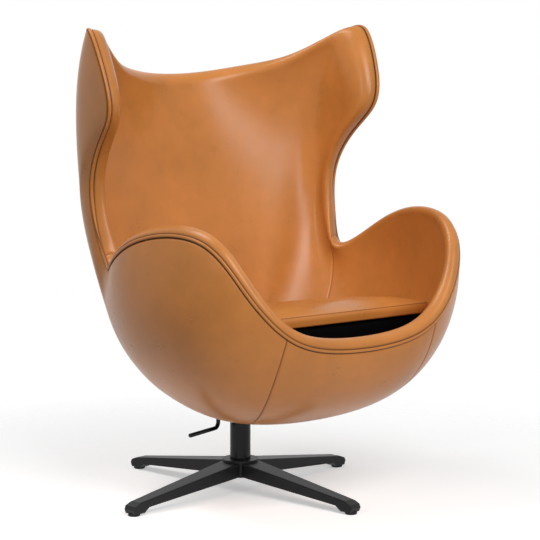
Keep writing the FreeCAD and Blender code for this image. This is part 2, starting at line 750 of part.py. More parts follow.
def make_seat_plate():
    """A plate with a window for the barrel and two ears that grip the tilt shaft."""
    slab = box("plate_slab", ("-plate_half_x", "-plate_half_y", "plate_foot"),
               ("2 * plate_half_x", "2 * plate_half_y", "plate_thickness"))
    window = box("plate_window", ("-window_half_x", "-window_half_y", "plate_foot"),
                 ("2 * window_half_x", "2 * window_half_y", "plate_thickness"))
    ears = []
    for name, start in (("ear_left", "-window_half_x - ear_thickness"), ("ear_right", "window_half_x")):
        ears.append(box(f"{name}_web", (start, "-ear_half_width", "plate_foot"),
                        ("ear_thickness", "2 * ear_half_width", "pivot_height - plate_foot")))
        ears.append(cylinder(f"{name}_eye", "ear_half_width", "ear_thickness", (start, "0", "pivot_height"), True))
    holes = [cylinder("shaft_hole", "shaft_radius + fit_gap", "2 * shaft_half", ("-shaft_half", "0", "pivot_height"), True)]
    for number, (x_sign, y_sign) in enumerate(BOLT_CORNERS):
        holes.append(cylinder(f"plate_hole_{number}", "bolt_radius + clearance", "plate_thickness",
                              (f"{x_sign}bolt_x", f"{y_sign}bolt_y", "plate_foot")))
    pierced = cut("plate_with_window", slab, window)
    plate = cut("plate", fused("plate_with_ears", [pierced] + ears), fused("plate_holes", holes))
    hand_over(plate, "seat_plate")
    shaft = cylinder("shaft_rod", "shaft_radius", "2 * shaft_half", ("-shaft_half", "column_y", "pivot_height"), True)
    shaft.Label = "tilt_shaft"
    sub_parts.append(shaft)


BOLT_CORNERS = (("", ""), ("-", ""), ("", "-"), ("-", "-"))


def make_plate_bolts():
    """Four bolts through the plate into the laminated block."""
    pieces = []
    for number, (x_sign, y_sign) in enumerate(BOLT_CORNERS):
        x, y = f"{x_sign}bolt_x", f"{y_sign}bolt_y"
        plate_top = "plate_foot + plate_thickness"
        pieces.append(cylinder(f"bolt_head_{number}", "bolt_head_radius", "bolt_head_height", (x, y, plate_top)))
        pieces.append(cylinder(f"bolt_shank_{number}", "bolt_radius", "bolt_length",
                               (x, y, f"{plate_top} - bolt_length")))
    return hand_over(fused("bolts", pieces), "plate_bolts")


# Seat: the board in the bowl, the black deck pad and the loose leather cushion

def level_wire(share, height):
    """The closed line where a layer of the shell crosses a height."""
    surface = patch(wall_net(share), (0, TOP_STATION))
    half = []
    samples = 24
    for k in range(samples + 1):
        station = TOP_STATION * k / samples
        low, high = 0.2, 1.0
        for step in range(40):
            middle = (low + high) / 2
            if surface.value(station, middle).z < height:
                low = middle
            else:
                high = middle
        half.append(Vector(surface.value(station, low).x, surface.value(station, low).y, height))
    points = half + [mirrored(point) for point in half[-2:0:-1]]
    curve = Part.BSplineCurve()
    curve.interpolate(Points=points, PeriodicFlag=True)
    return Part.Wire([curve.toShape()])


def cushion_wire(height, drawn_in, slope=True):
    """The cushion's outline of arcs, drawn in evenly; its height is the front edge's, and it slopes down to the back."""
    width = size("cushion_half_width")
    middle = (size("cushion_back") - size("cushion_front")) / 2
    depth = (size("cushion_back") + size("cushion_front")) / 2
    fall = math.tan(math.radians(size("cushion_slope"))) if slope else 0
    shape = [(0, -1), (0.90, -0.95), (0.97, -0.89), (0.985, -0.78), (1, -0.20), (0.84, 0.45), (0.72, 0.72),
             (0.55, 0.85), (0, 1)]
    right = []
    for x, y in shape:
        along = middle + y * (depth - drawn_in)
        right.append(Vector(x * (width - drawn_in), along, height - fall * (along + size("cushion_front"))))
    left = [mirrored(point) for point in right]
    arcs = [(left[1], right[0], right[1])]
    arcs += [(right[k], right[k + 1], right[k + 2]) for k in (1, 3, 5)]
    arcs.append((right[7], right[8], left[7]))
    arcs += [(left[k + 2], left[k + 1], left[k]) for k in (5, 3, 1)]
    return Part.Wire([Part.Arc(*arc).toShape() for arc in arcs])


def make_seat():
    board_share = 1.03
    board = Part.makeLoft([level_wire(board_share, size("board_foot")), level_wire(board_share, size("board_top"))],
                          True, True)
    shell_feature("seat_board", board)
    deck_foot = size("board_top") + size("clearance")
    deck_top = size("deck_top")
    deck = Part.makeLoft([cushion_wire(deck_foot, 60, slope=False), cushion_wire(deck_foot + 4, 44, slope=False),
                          cushion_wire(deck_top - 4, 18), cushion_wire(deck_top, 24)], True, True)
    shell_feature("seat_deck", deck)
    foot = size("cushion_foot")
    seam = size("cushion_seam")
    crown = size("cushion_crown")
    waist = (foot + seam) / 2
    outline = [(foot, 8), (foot + 5, 1), (waist, 5), (seam - 5, 1), (seam, 0)]
    outline += [(seam + crown * math.sin(math.radians(angle)), 240 * (1 - math.cos(math.radians(angle))))
                for angle in (20, 40, 60, 80)]
    shell_feature("seat_cushion", Part.makeLoft([cushion_wire(*level) for level in outline], True, True))


make_star_base()
make_foot_glides()
make_column()
make_spindle()
make_tilt_barrel()
make_barrel_fittings()
make_lever()
make_seat_plate()
make_plate_bolts()
make_core()
make_outer_cover()
make_padding()
make_inner_cover()
make_welt()
make_underside()
make_seat()
doc.recompute()

# Every object has to be sound before anything is written
for thing in doc.Objects:
    if "Invalid" in thing.State or "Error" in thing.State:
        raise RuntimeError(f"{thing.Label} failed: {thing.State}")
for piece in sub_parts:
    if piece.Shape.isNull() or not piece.Shape.isValid():
        raise RuntimeError(f"{piece.Label} has no sound shape")

os.makedirs("parts", exist_ok=True)
for piece in sub_parts:
    piece.Shape.exportStep(os.path.join("parts", f"{piece.Label}.step"))
    print(f"{piece.Label}: {len(piece.Shape.Solids)} solid, {piece.Shape.Volume / 1000:.1f} cm3")
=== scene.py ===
# %% [markdown]
# # Winged shell lounge chair
# The CAD frame gives every hard part: star base, column, tilt unit, lever and the moulded shell.
# This lesson adds what an upholsterer adds: leather panels, the welt, the padded rim and the seat cushion.

# %% Load the frame
import json
import math

import bpy
import numpy as np
from mathutils import Matrix, Vector


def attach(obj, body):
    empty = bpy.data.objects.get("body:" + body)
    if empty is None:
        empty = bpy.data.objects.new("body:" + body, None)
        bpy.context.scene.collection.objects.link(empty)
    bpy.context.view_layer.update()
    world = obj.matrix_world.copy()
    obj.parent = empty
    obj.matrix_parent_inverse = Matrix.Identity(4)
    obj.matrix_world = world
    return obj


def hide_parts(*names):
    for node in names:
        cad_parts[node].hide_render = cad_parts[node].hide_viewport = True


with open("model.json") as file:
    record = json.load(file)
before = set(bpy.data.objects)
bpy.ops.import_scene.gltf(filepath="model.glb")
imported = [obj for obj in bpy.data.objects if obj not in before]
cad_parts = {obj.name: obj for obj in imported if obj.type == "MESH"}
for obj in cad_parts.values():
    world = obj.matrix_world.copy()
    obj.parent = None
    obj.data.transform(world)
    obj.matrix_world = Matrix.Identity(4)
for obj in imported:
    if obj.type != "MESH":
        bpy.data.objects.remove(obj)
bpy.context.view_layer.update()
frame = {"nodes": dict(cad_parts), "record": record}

# The column's foot. Every shape is worked out round it, in metres, and put in its place last.
COLUMN = np.array([0, 0.054, 0])
print("CAD nodes:", len(frame["nodes"]))

# %% [markdown]
# ## The net that shapes the shell
# The shell is one smooth sheet. It could be sculpted, or lofted through sections, but a net of control points
# keeps the leather, the padding and the welt on the same surface.
# Each station holds a bearing round the column hole, a point on the side and a point on the rim,
# then the padded roll's rise, the wall's depth at the rim and how far the roll falls away to the inside.
# The stations run from the front centre, up an arm, down into the notch, up a wing and to the top centre.

# %% Stations from the front centre to the top centre
STATIONS = [
    (0, (0, -.450, .325), (0, -.471, .400), .020, .042, 0),
    (16, (.130, -.450, .330), (.150, -.468, .412), .020, .042, 0),
    (32, (.240, -.428, .355), (.232, -.463, .459), .020, .040, 0),
    (46, (.340, -.392, .405), (.295, -.440, .536), .020, .034, 0),
    (58, (.400, -.345, .465), (.330, -.405, .613), .020, .032, 0),
    (70, (.428, -.275, .490), (.352, -.343, .661), .020, .032, 0),
    (82, (.428, -.190, .485), (.373, -.224, .664), .020, .032, 0),
    (93, (.410, -.100, .460), (.388, -.100, .632), .018, .033, 0),
    (103, (.380, -.020, .450), (.372, -.006, .573), .014, .036, 0),
    (113, (.360, .050, .460), (.332, .048, .545), .010, .040, .004),
    (124, (.348, .117, .550), (.348, .080, .625), .012, .040, .020),
    (134, (.352, .174, .640), (.358, .105, .750), .014, .042, .040),
    (141, (.370, .213, .730), (.372, .030, .850), .011, .047, .062),
    (146, (.383, .220, .790), (.388, -.052, .910), .009, .056, .076),
    (150, (.385, .220, .840), (.397, -.025, 1.010), .007, .066, .082),
    (154, (.374, .220, .870), (.402, .015, 1.092), .003, .066, .078),
    (158, (.345, .232, .880), (.392, .050, 1.104), .003, .058, .060),
    (163, (.280, .250, .850), (.302, .166, 1.012), .016, .074, .030),
    (168, (.200, .260, .820), (.200, .245, .980), .024, .064, .008),
    (174, (.100, .266, .800), (.100, .283, .961), .026, .053, .008),
    (180, (0, .268, .790), (0, .288, .956), .026, .048, .008),
]
# The station at the top centre, the number of stations all round, and the station of the seam in the notch.
TOP = len(STATIONS) - 1
ROUND = 2 * TOP
NOTCH = 9.35
print("stations in half the ring:", len(STATIONS))

# %% Control points of the net
# Rows of the net that later cells use, of the five from the column hole to the rim.
BELLY, SIDE, RIM = 2, 3, 4
# The middle of the bowl, ahead of the column.
MIDDLE_Y = -0.13
# The two rings round the column: radius, height and how much lower the front is.
HOLE_RADIUS, HOLE_HEIGHT, HOLE_TILT = 0.075, 0.213, 0.016
LOW_RADIUS, LOW_HEIGHT, LOW_TILT = 0.145, 0.221, 0.036
# How much wider the low ring is at the front, and narrower at the back.
LOW_FORWARD = 0.035
# The belly's ring: half width, reach to the front and to the back, height, tilt and bow.
BELLY_WIDTH, BELLY_FRONT, BELLY_BACK = 0.335, 0.243, 0.260
BELLY_HEIGHT, BELLY_TILT, BELLY_BOW = 0.268, 0.1, 0.053
# The power that squares the belly off, and how much smaller it is at the back.
SQUARE, SQUARE_BACK = 0.8, 0.25


def signed_power(x, p):
    """The size of x raised to the power p, with the sign of x."""
    return np.sign(x) * np.abs(x) ** p


def half_net():
    """Five control points per station: a tilted ring round the column, a wider ring, a squared-off ring
    for the belly (sine and cosine raised to a power below one), then the side and rim points."""
    bearing = np.radians([station[0] for station in STATIONS])
    s, c = np.sin(bearing), np.cos(bearing)
    low_radius = LOW_RADIUS + LOW_FORWARD * c
    square = np.where(c > 0, SQUARE, SQUARE + SQUARE_BACK * c)
    reach = np.where(c > 0, BELLY_FRONT, BELLY_BACK)
    hole = np.stack([HOLE_RADIUS * s, -HOLE_RADIUS * c, HOLE_HEIGHT - HOLE_TILT * c], -1)
    low = np.stack([low_radius * s, -low_radius * c, LOW_HEIGHT - LOW_TILT * c], -1)
    belly_x = BELLY_WIDTH * signed_power(s, square)
    belly_y = MIDDLE_Y - reach * signed_power(c, square)
    belly = np.stack([belly_x, belly_y, BELLY_HEIGHT - BELLY_TILT * c + BELLY_BOW * c * c], -1)
    side, rim = [np.array([station[k] for station in STATIONS]) for k in (1, 2)]
    return np.stack([hole, low, belly, side, rim], 1)


def whole(half):
    """The half net, or a value per station, and its mirror image as one closed ring of stations."""
    flip = np.array([-1, 1, 1]) if half.ndim > 1 else 1
    return np.concatenate([half, half[-2:0:-1] * flip])


NET = whole(half_net())
print("net of stations, rows and coordinates:", NET.shape)

# %% [markdown]
# ## The depth of the wall
# Leather, fibreglass, foam and lining lie on one another. Each could be a surface of its own, offset along
# its normals, but offsets cross in the tight notch. Here every point of the net is drawn towards a spine in
# the middle of the seat instead, by a share of the wall's depth there, so that the layers keep their order.

# %% Directions and depths at every point of the net
# The padded wall's depth away from the rim.
WALL = 0.048
# The spine starts at this height and leans back by this slope. Lower points are drawn to its foot.
SPINE_FOOT = 0.48
SPINE_LEAN = 0.25
# Stations between which the welt widens to a strip up a wing, and narrows again at its top.
STRIP_STATIONS = [9.5, 11, 17, 18.5]


def unit(v):
    """Vectors divided by their own length."""
    return v / np.linalg.norm(v, axis=-1, keepdims=True)


height = np.maximum(NET[..., 2], SPINE_FOOT)
SPINE = np.stack([0 * height, MIDDLE_Y + SPINE_LEAN * (height - SPINE_FOOT), height], -1)
INWARD = unit(SPINE - NET)
RISE, RIM_DEPTH, DROP = [whole(np.array([station[k] for station in STATIONS])) for k in (3, 4, 5)]
DEPTH = np.stack([0 * RISE + WALL] * 3 + [(WALL + RIM_DEPTH) / 2, RIM_DEPTH], 1)
from_front = np.abs((np.arange(ROUND) + TOP) % ROUND - TOP)
STRIP = np.interp(from_front, STRIP_STATIONS, [0, 1, 1, 0])


def layer(share):
    """The net drawn inwards by a share of the wall's depth."""
    return NET + INWARD * (share * DEPTH)[..., None]


def rim_lift(share):
    """Unit vectors along the wall and out of its rim, for the layer at a share of the depth."""
    net = layer(share)
    return unit(net[:, RIM] - net[:, SIDE])


print("depth at the rim from", RIM_DEPTH.min(), "to", RIM_DEPTH.max(), "m")

# %% [markdown]
# ## Surfaces from the net
# A Blender NURBS surface could carry the net, but leather needs its own steps between seams and a dip beside
# them. So the net is blended here: round the rim by uniform cubic weights, up the wall by clamped cubic ones.
# Every sheet of leather is then a whole array of points, a row per station and a column per step up the wall.

# %% Weights and measures of a sheet
def ring_weights(u):
    """Uniform cubic B-spline weights of the closed ring, at stations u: four cubics of the fraction past a
    station, for the station before it, for itself and for the next two."""
    k = np.floor(u).astype(int)
    f = u - k
    here = 3 * f ** 3 - 6 * f ** 2 + 4
    after = 1 + 3 * f + 3 * f ** 2 - 3 * f ** 3
    cubics = np.stack([(1 - f) ** 3, here, after, f ** 3], -1) / 6
    weights = np.zeros(u.shape + (ROUND,))
    near = (k[..., None] + np.arange(-1, 3)) % ROUND
    np.put_along_axis(weights, near, cubics, -1)
    return weights


def half_wall_weights(a):
    """Weights of the five rows over half the wall, as cubics of a: 0 at the wall's end and 1 at the knot."""
    second = a * (3 - 4.5 * a + 1.75 * a ** 2)
    third = a ** 2 * (1.5 - a)
    return np.stack([(1 - a) ** 3, second, third, a ** 3 / 4, 0 * a], -1)


def wall_weights(t):
    """Clamped cubic B-spline weights of five rows with one knot half-way up, at heights t from 0 to 1.
    The upper half has the lower half's weights in reverse."""
    low = half_wall_weights(np.clip(2 * t, 0, 1))
    high = half_wall_weights(1 - np.clip(2 * t - 1, 0, 1))[:, ::-1]
    return np.where((t <= 0.5)[:, None], low, high)


def blend(u, net, weights):
    """The surface of a net, as its points' weighted sum: u has a station for every grid point, and weights
    a row for every step up the wall."""
    return np.einsum("uvi,ivk->uvk", ring_weights(u), np.einsum("vj,ijk->ivk", weights, net))


def normals(grid):
    """Unit normals of a grid, out of the shell: the cross product of the steps round it and up it."""
    return unit(np.cross(np.gradient(grid, axis=0), np.gradient(grid, axis=1)))


def eased(a, b, count, pull=0.85):
    """Steps from a to b that crowd towards both ends: the line x less a share of one sine wave."""
    x = np.linspace(0, 1, count)
    return a + (b - a) * (x - pull * np.sin(2 * np.pi * x) / (2 * np.pi))


def lengths(grid, axis):
    """Distance run along each grid line from its start: the sum of the steps so far."""
    step = np.linalg.norm(np.diff(grid, axis=axis), axis=-1)
    return np.concatenate([np.zeros_like(np.take(step, [0], axis)), np.cumsum(step, axis)], axis)


def edge_distance(grid, axis):
    """Distance of every point from the nearer end of its grid line."""
    run = lengths(grid, axis)
    return np.minimum(run, np.take(run, [-1], axis) - run)


print("weights at one station add up to", ring_weights(np.array([NOTCH])).sum())

# %% [markdown]
# ## How leather lies
# Sewn leather is drawn down at its stitches and lies a little uneven between them.
# Sculpting could give that by hand. A bell curve beside each seam and a few slow waves give it the same way
# each run.

# %% Dips and waves
# The waves of a panel: how many, the spread of their angles per station in radians, and how many stations the
# wall's height counts for. Each starts somewhere in a full turn.
WAVES = 7
WAVE_SPREAD = 0.7
WALL_IN_STATIONS = 15
FULL_TURN = 6.28


def bell(distance, width):
    """A bell curve: e to the minus square of distance over width, which is 1 at no distance."""
    return np.exp(-(distance / width) ** 2)


def ramp(distance, width):
    """A share that grows evenly from 0 to 1 over a width, and stays there."""
    return np.clip(distance / width, 0, 1)


def ripple(u, v, seed):
    """Soft unevenness of hand-laid leather: the mean of slow sine waves in two directions, from -1 to 1."""
    rng = np.random.default_rng(seed)
    a, b = rng.normal(0, WAVE_SPREAD, (2, WAVES, 1, 1))
    start = rng.uniform(0, FULL_TURN, (WAVES, 1, 1))
    return np.sin(a * u[None, :, None] + WALL_IN_STATIONS * b * v[None, None, :] + start).mean(0)


print("share of a seam's dip that is left one width away:", bell(1.0, 1.0))

# %% [markdown]
# ## Sheets as meshes
# A sheet could be built face by face with bmesh, but a grid's faces follow from the numbers of its points.
# So whole arrays go into the mesh, and an attribute tells the leather's material where the seams are, which
# it paints dark as seam lines and as shade in their grooves.

# %% Meshes from arrays
def place(name, data):
    """A new object with this mesh, lamp or camera, in the scene."""
    obj = bpy.data.objects.new(name, data)
    bpy.context.scene.collection.objects.link(obj)
    return obj


def add_mesh(name, points, faces, seam):
    """A smooth mesh round the column, which stores how near to a seam each of its points is: the leather is
    painted dark there, as a seam line and as painted shade in the groove.
    """
    mesh = bpy.data.meshes.new(name)
    mesh.from_pydata(points + COLUMN, [], faces)
    mesh.polygons.foreach_set("use_smooth", np.ones(len(mesh.polygons), bool))
    mesh.attributes.new("seam", "FLOAT", "POINT").data.foreach_set("value", seam.astype(np.float32))
    print(name, len(mesh.polygons), "faces")
    return place(name, mesh)


def add_sheet(name, grid, seam, closed=False, flip=False):
    """Four-sided faces between neighbours on a grid of points. A closed sheet joins its last lines to its
    first, and a flipped one faces the other way."""
    index = np.arange(seam.size).reshape(seam.shape)
    if closed:
        index = np.pad(index, (0, 1), "wrap")
    quads = np.stack([index[:-1, :-1], index[1:, :-1], index[1:, 1:], index[:-1, 1:]], -1).reshape(-1, 4)
    return add_mesh(name, grid.reshape(-1, 3), quads[:, ::-1] if flip else quads, seam.reshape(-1))


# %% [markdown]
# ## Outside leather
# Three panels are sewn together: the front between two seams, and two side panels that meet down the back.
# One sheet with painted seams would look flat at the edges, so each panel is a sheet of its own.
# It dips where it is sewn and is coloured dark there, a seam line with painted shade of the groove, so that
# the seams read as dark lines, and is drawn into a crease under the notch.

# %% Front and side panels
WALL_STEPS, WALL_PULL = 120, 0.88
FRONT_STEPS, SIDE_STEPS = 110, 280
# The front seam's station at the column hole, and how much nearer to the middle it is at the rim.
SEAM_STATION, SEAM_LEAN = 2.15, 0.40
# How far a panel stops below the rim: under the piping, and under the strip up a wing.
BELOW_PIPING, BELOW_STRIP = 0.0075, 0.001
# Depth and width of the dip beside a seam, and of the dip beside the welt.
SEAM_DIP = (0.0018, 0.0028)
WELT_DIP = (0.0024, 0.0026)
# The crease: its depth, its spread in stations, its distance below the rim and its spread up the wall.
CREASE_DEPTH, CREASE_SPREAD, CREASE_BELOW, CREASE_TALL = 0.004, 0.45, 0.05, 0.045
# The height of the waves, and the width beside a seam over which they are drawn flat.
OUTER_WAVE, DRAWN_FLAT = 0.0006, 0.03
# Width of the dark line at a seam and at the welt, a seam line with painted shade of its groove, and how dark
# the seam's is.
SEAM_LINE, WELT_LINE, SEAM_DARKNESS = 0.0016, 0.0026, 0.9


def sewn(distance, depth, width):
    """How far leather sinks beside a seam: a bell curve, deepest at the stitches."""
    return depth * bell(distance, width)


def front_seam(t):
    """The station of the front panel's seam at height t: a straight line, nearer to the middle at the rim."""
    return SEAM_STATION - SEAM_LEAN * t


def back_seam(t):
    """The station of the seam down the back: the top centre at every height."""
    return TOP + 0 * t


def outer_panel(name, first, last, count, seed):
    """The outside of the net between two seams, moved along its normals by waves less dips and crease."""
    t = eased(0.0, 1.0, WALL_STEPS, WALL_PULL)
    u = first(t) + (last(t) - first(t)) * eased(0.0, 1.0, count)[:, None]
    net = layer(0.0)
    net[:, RIM] -= rim_lift(0.0) * (BELOW_STRIP * STRIP + BELOW_PIPING * (1 - STRIP))[:, None]
    grid = blend(u, net, wall_weights(t))
    side_gap = edge_distance(grid, 0)
    run = lengths(grid, 1)
    rim_gap = run[:, -1:] - run
    dip = sewn(side_gap, *SEAM_DIP) + sewn(rim_gap, *WELT_DIP)
    notch_gap = np.minimum(np.abs(u - NOTCH), np.abs(u - (ROUND - NOTCH)))
    crease = CREASE_DEPTH * bell(notch_gap, CREASE_SPREAD) * bell(rim_gap - CREASE_BELOW, CREASE_TALL)
    wave = OUTER_WAVE * ripple(u[:, 0], t, seed) * ramp(side_gap, DRAWN_FLAT) * ramp(rim_gap, DRAWN_FLAT)
    grid = grid + normals(grid) * (wave - dip - crease)[..., None]
    # Dark lines along the seams and below the welt: seam lines with painted shade of the grooves.
    seam = np.maximum(SEAM_DARKNESS * bell(side_gap, SEAM_LINE), bell(rim_gap, WELT_LINE))
    return add_sheet(name, grid, seam)


outer_front = outer_panel("leather_front", lambda t: -front_seam(t), front_seam, FRONT_STEPS, seed=1)
outer_right = outer_panel("leather_side_right", front_seam, back_seam, SIDE_STEPS, seed=2)
outer_left = outer_panel("leather_side_left", back_seam, lambda t: ROUND - front_seam(t), SIDE_STEPS, seed=3)

# %% [markdown]
# ## The welt
# A leather-covered cord is sewn between the outside panels and the rolled rim.
# Round the arms and the front it is a thin piping on the outside; up the wings it widens to a strip that
# faces out of the rim. A bevelled curve would keep one round section, so here an oval one is carried round
# the rim, and a share from 0 to 1 turns piping into strip.

# %% An oval section carried round the rim
WELT_STEPS, WELT_SIDES = 800, 16
# Half the section's width for the piping, what the strip adds to it, and half its thickness.
HALF_WIDTH, STRIP_WIDER, HALF_THICKNESS = 0.0038, 0.0010, 0.0034
# The section's middle: how far inside the rim and below it, and how the strip changes that.
WELT_INSIDE, STRIP_INSIDE = 0.001, 0.0045
WELT_BELOW, STRIP_ABOVE = 0.003, 0.004
# The power that squares the section off, and the power that keeps the dark line to its two ends, a seam line
# with painted shade where the welt meets the leather beside it.
SECTION_SQUARE, LINE_POWER = 0.8, 6


def make_welt():
    """Round the rim, the section's cosine (squared off by a power) runs sideways and its sine faces out.
    Sideways turns from along the wall, for the piping, to across it, for the strip."""
    u = np.linspace(0, ROUND, WELT_STEPS, endpoint=False)
    weights = ring_weights(u)
    angle = np.linspace(0, 2 * np.pi, WELT_SIDES, endpoint=False)
    strip = (weights @ STRIP)[:, None]
    out_of_rim = unit(weights @ rim_lift(0.0))
    inward = weights @ INWARD[:, RIM]
    rim = weights @ NET[:, RIM]
    along = unit(np.roll(rim, -1, 0) - np.roll(rim, 1, 0))
    middle = rim + inward * (WELT_INSIDE + STRIP_INSIDE * strip)
    middle = middle + out_of_rim * (STRIP_ABOVE * strip - WELT_BELOW)
    sideways = inward * strip - out_of_rim * (1 - strip)
    sideways = unit(sideways - along * (sideways * along).sum(-1, keepdims=True))
    facing = np.cross(sideways, along)
    half_width = HALF_WIDTH + STRIP_WIDER * strip
    across = signed_power(np.cos(angle), SECTION_SQUARE)
    grid = middle[:, None] + (half_width * across)[..., None] * sideways[:, None]
    grid = grid + HALF_THICKNESS * np.sin(angle)[None, :, None] * facing[:, None]
    # The welt's two edges are painted dark: seam lines with painted shade where it meets the leather beside
    # it.
    seam = np.abs(across) ** LINE_POWER * np.ones((len(u), 1))
    return add_sheet("leather_welt", grid, seam, closed=True)


welt = make_welt()

# %% [markdown]
# ## Inside leather and the rolled rim
# The lining runs up the inside of the shell and over a padded roll, where it tucks in behind the welt.
# A separate roll would show a joint, so the wall and the roll are one sheet: the wall's points, then a cubic
# arch that leaves the wall along its own slope.
# The back with its wings is one panel and the seat with its arms another, sewn from notch to seat.

# %% Nets of the lining's wall and roll
# How often the net's middle rows are evened out, so that the lining has no folds beside the notch.
EVENING = 3
# The roll's outer end: how far above the rim it is, and how far inside where the strip lies.
EDGE_ABOVE, EDGE_INSIDE = 0.001, 0.011
# The share of the way inwards that the roll's crest leans, where the roll falls away this far or more.
CREST_LEAN, FULL_LEAN_DROP = 0.6, 0.050
# The share of the fall by which the arch's first handle is lowered.
HANDLE_DROP = 0.4


def evened(rows, times):
    """Rows of the net evened out round the ring: each point goes half-way to the mean of its two neighbours,
    and this is repeated."""
    mean = (np.roll(rows, 1, 0) + 2 * rows + np.roll(rows, -1, 0)) / 4
    return mean if times == 1 else evened(mean, times - 1)


def lining_nets():
    """The wall's net, and the arch's: from the wall's end, lowered by the fall, to the rim's outside.
    An arch's middle is an eighth of its ends and three eighths of its handles, so a rise gives their lift."""
    start, end = rim_lift(1.0), rim_lift(0.0)
    drop = DROP[:, None]
    lift = (8 * RISE[:, None] - EDGE_ABOVE) / 6
    net = layer(1.0)
    net[:, BELLY:RIM] = evened(net[:, BELLY:RIM], EVENING)
    inside = net[:, RIM].copy()
    net[:, RIM] -= start * drop
    outside = NET[:, RIM] + INWARD[:, RIM] * (EDGE_INSIDE * STRIP)[:, None]
    crest = outside + (inside - outside) * CREST_LEAN * np.minimum(1, drop / FULL_LEAN_DROP)
    handles = inside + start * (lift - HANDLE_DROP * drop), crest + end * lift
    return net, np.stack([net[:, RIM], *handles, outside + end * EDGE_ABOVE], 1)


print("nets of the wall and the roll:", [net.shape for net in lining_nets()])

# %% Back and seat linings
# The lining starts at this share of the wall's height, below the cushion.
LINING_FOOT = 0.36
# Two more lines behind the welt, as steps from the roll's end.
TUCK_STEPS = np.array([0.0015, 0.004])
# The lining's waves, the width below the welt over which they are drawn flat, its dips and its dark lines,
# which are seam lines with painted shade in their grooves.
INNER_WAVE, RIM_DRAWN_FLAT = 0.0008, 0.06
LINING_DIP = (0.0016, 0.0036)
LINING_DARKNESS, ROLL_LINE = 0.45, 0.0034
# Steps up the wall and over the roll, and stations across the back and the seat.
LINING_STEPS, ROLL_STEPS = 80, 41
BACK_STEPS, SEAT_STEPS = 320, 300


def bezier_weights(v):
    """Weights of a cubic arch's two ends and two handles, at shares v of the way along it."""
    return np.stack([(1 - v) ** 3, 3 * v * (1 - v) ** 2, 3 * v ** 2 * (1 - v), v ** 3], -1)


def columns(u, count):
    """The same stations u for every step up the wall."""
    return np.broadcast_to(u[:, None], (len(u), count))


def inner_panel(name, first, last, count, seed):
    """The wall, the roll and the tuck joined line by line, moved along the normals by waves and dips.
    The normals run into the padding, so a dip is added, and the faces are flipped towards the sitter."""
    stations = eased(first, last, count)
    net, arch = lining_nets()
    up_wall = wall_weights(np.linspace(LINING_FOOT, 1, LINING_STEPS))
    over_roll = bezier_weights(np.linspace(0, 1, ROLL_STEPS))
    wall = blend(columns(stations, LINING_STEPS), net, up_wall)
    roll = blend(columns(stations, ROLL_STEPS), arch, over_roll)[:, 1:]
    weights = ring_weights(stations)
    behind_welt = (weights @ INWARD[:, RIM] - weights @ rim_lift(0.0))[:, None]
    tuck = roll[:, -1:] + behind_welt * TUCK_STEPS[None, :, None]
    grid = np.concatenate([wall, roll, tuck], 1)
    side_gap = edge_distance(grid, 0)
    run = lengths(grid, 1)
    roll_end = -1 - len(TUCK_STEPS)
    rim_gap = np.maximum(run[:, [roll_end]] - run, 0)
    calm = ramp(side_gap, DRAWN_FLAT) * ramp(rim_gap, RIM_DRAWN_FLAT)
    wave = INNER_WAVE * ripple(stations, np.linspace(0, 1, grid.shape[1]), seed) * calm
    grid = grid + normals(grid) * (wave + sewn(side_gap, *LINING_DIP))[..., None]
    # Dark lines at the side seams, seam lines with painted shade of the groove, and a dark band at the roll's
    # end: its seam line with painted shade where the lining tucks in behind the welt.
    seam = np.maximum(LINING_DARKNESS * bell(side_gap, SEAM_LINE), bell(rim_gap, ROLL_LINE))
    return add_sheet(name, grid, seam, flip=True)


inner_back = inner_panel("leather_back_lining", NOTCH, ROUND - NOTCH, BACK_STEPS, seed=4)
inner_seat = inner_panel("leather_seat_lining", -NOTCH, NOTCH, SEAT_STEPS, seed=5)

# %% [markdown]
# ## The plan of the seat
# Deck and cushion share one outline that follows the lining. It could be traced as a polygon, but a maker
# would draw it with a compass, so it is eight arcs, each through three points of the plan. The points are
# shares of the half width and half depth.

# %% Outline of eight arcs
CUSHION_PLAN = [(0, -1), (.90, -.95), (.97, -.89), (.985, -.78), (1, -.20),
                (.84, .45), (.72, .72), (.55, .85), (0, 1)]
CUSHION_HALF = np.array([0.334, 0.206])
ARC_STEPS, OUTLINE_STEPS = 60, 200


def arc(a, b, c, count):
    """Points on the circle through a, b and c, from a to c: its centre is equally far from all three."""
    chords = 2 * np.array([b - a, c - a])
    centre = np.linalg.solve(chords, [b @ b - a @ a, c @ c - a @ a])
    start, middle, stop = [math.atan2(*(p - centre)[::-1]) for p in (a, b, c)]
    turn = math.remainder(middle - start, math.tau) + math.remainder(stop - middle, math.tau)
    angle = start + turn * np.linspace(0, 1, count, endpoint=False)
    return centre + np.linalg.norm(a - centre) * np.stack([np.cos(angle), np.sin(angle)], -1)


def plan_outline():
    """The closed outline, anticlockwise: the arcs end to end, then points at even distances along them."""
    right = np.array(CUSHION_PLAN) * CUSHION_HALF
    left = right * [-1, 1]
    arcs = [(left[1], right[0], right[1])] + [(right[k], right[k + 1], right[k + 2]) for k in (1, 3, 5)]
    arcs += [(right[7], right[8], left[7])] + [(left[k + 2], left[k + 1], left[k]) for k in (5, 3, 1)]
    points = np.concatenate([arc(*a, ARC_STEPS) for a in arcs])
    closed = np.concatenate([points, points[:1]])
    run = np.concatenate([[0], np.cumsum(np.linalg.norm(np.diff(closed, axis=0), axis=1))])
    even = np.linspace(0, run[-1], OUTLINE_STEPS, endpoint=False)
    return np.stack([np.interp(even, run, closed[:, k]) for k in (0, 1)], -1)


OUTLINE = plan_outline()
print("outline:", np.ptp(OUTLINE, axis=0), "m")

# %% [markdown]
# ## The deck
# Under the loose cushion lies a foam deck coloured near black, seen only as the dark gap below the cushion's
# front edge. A scaled cube would not follow the lining, so the deck is a stack of rows on the plan, drawn in
# towards its foot.

# %% A stack of rows on the plan
# The middle of the plan, ahead of the column, and the slope by which the seat falls to the back.
SEAT_Y = -0.124
SEAT_FALL = math.tan(math.radians(5.0))
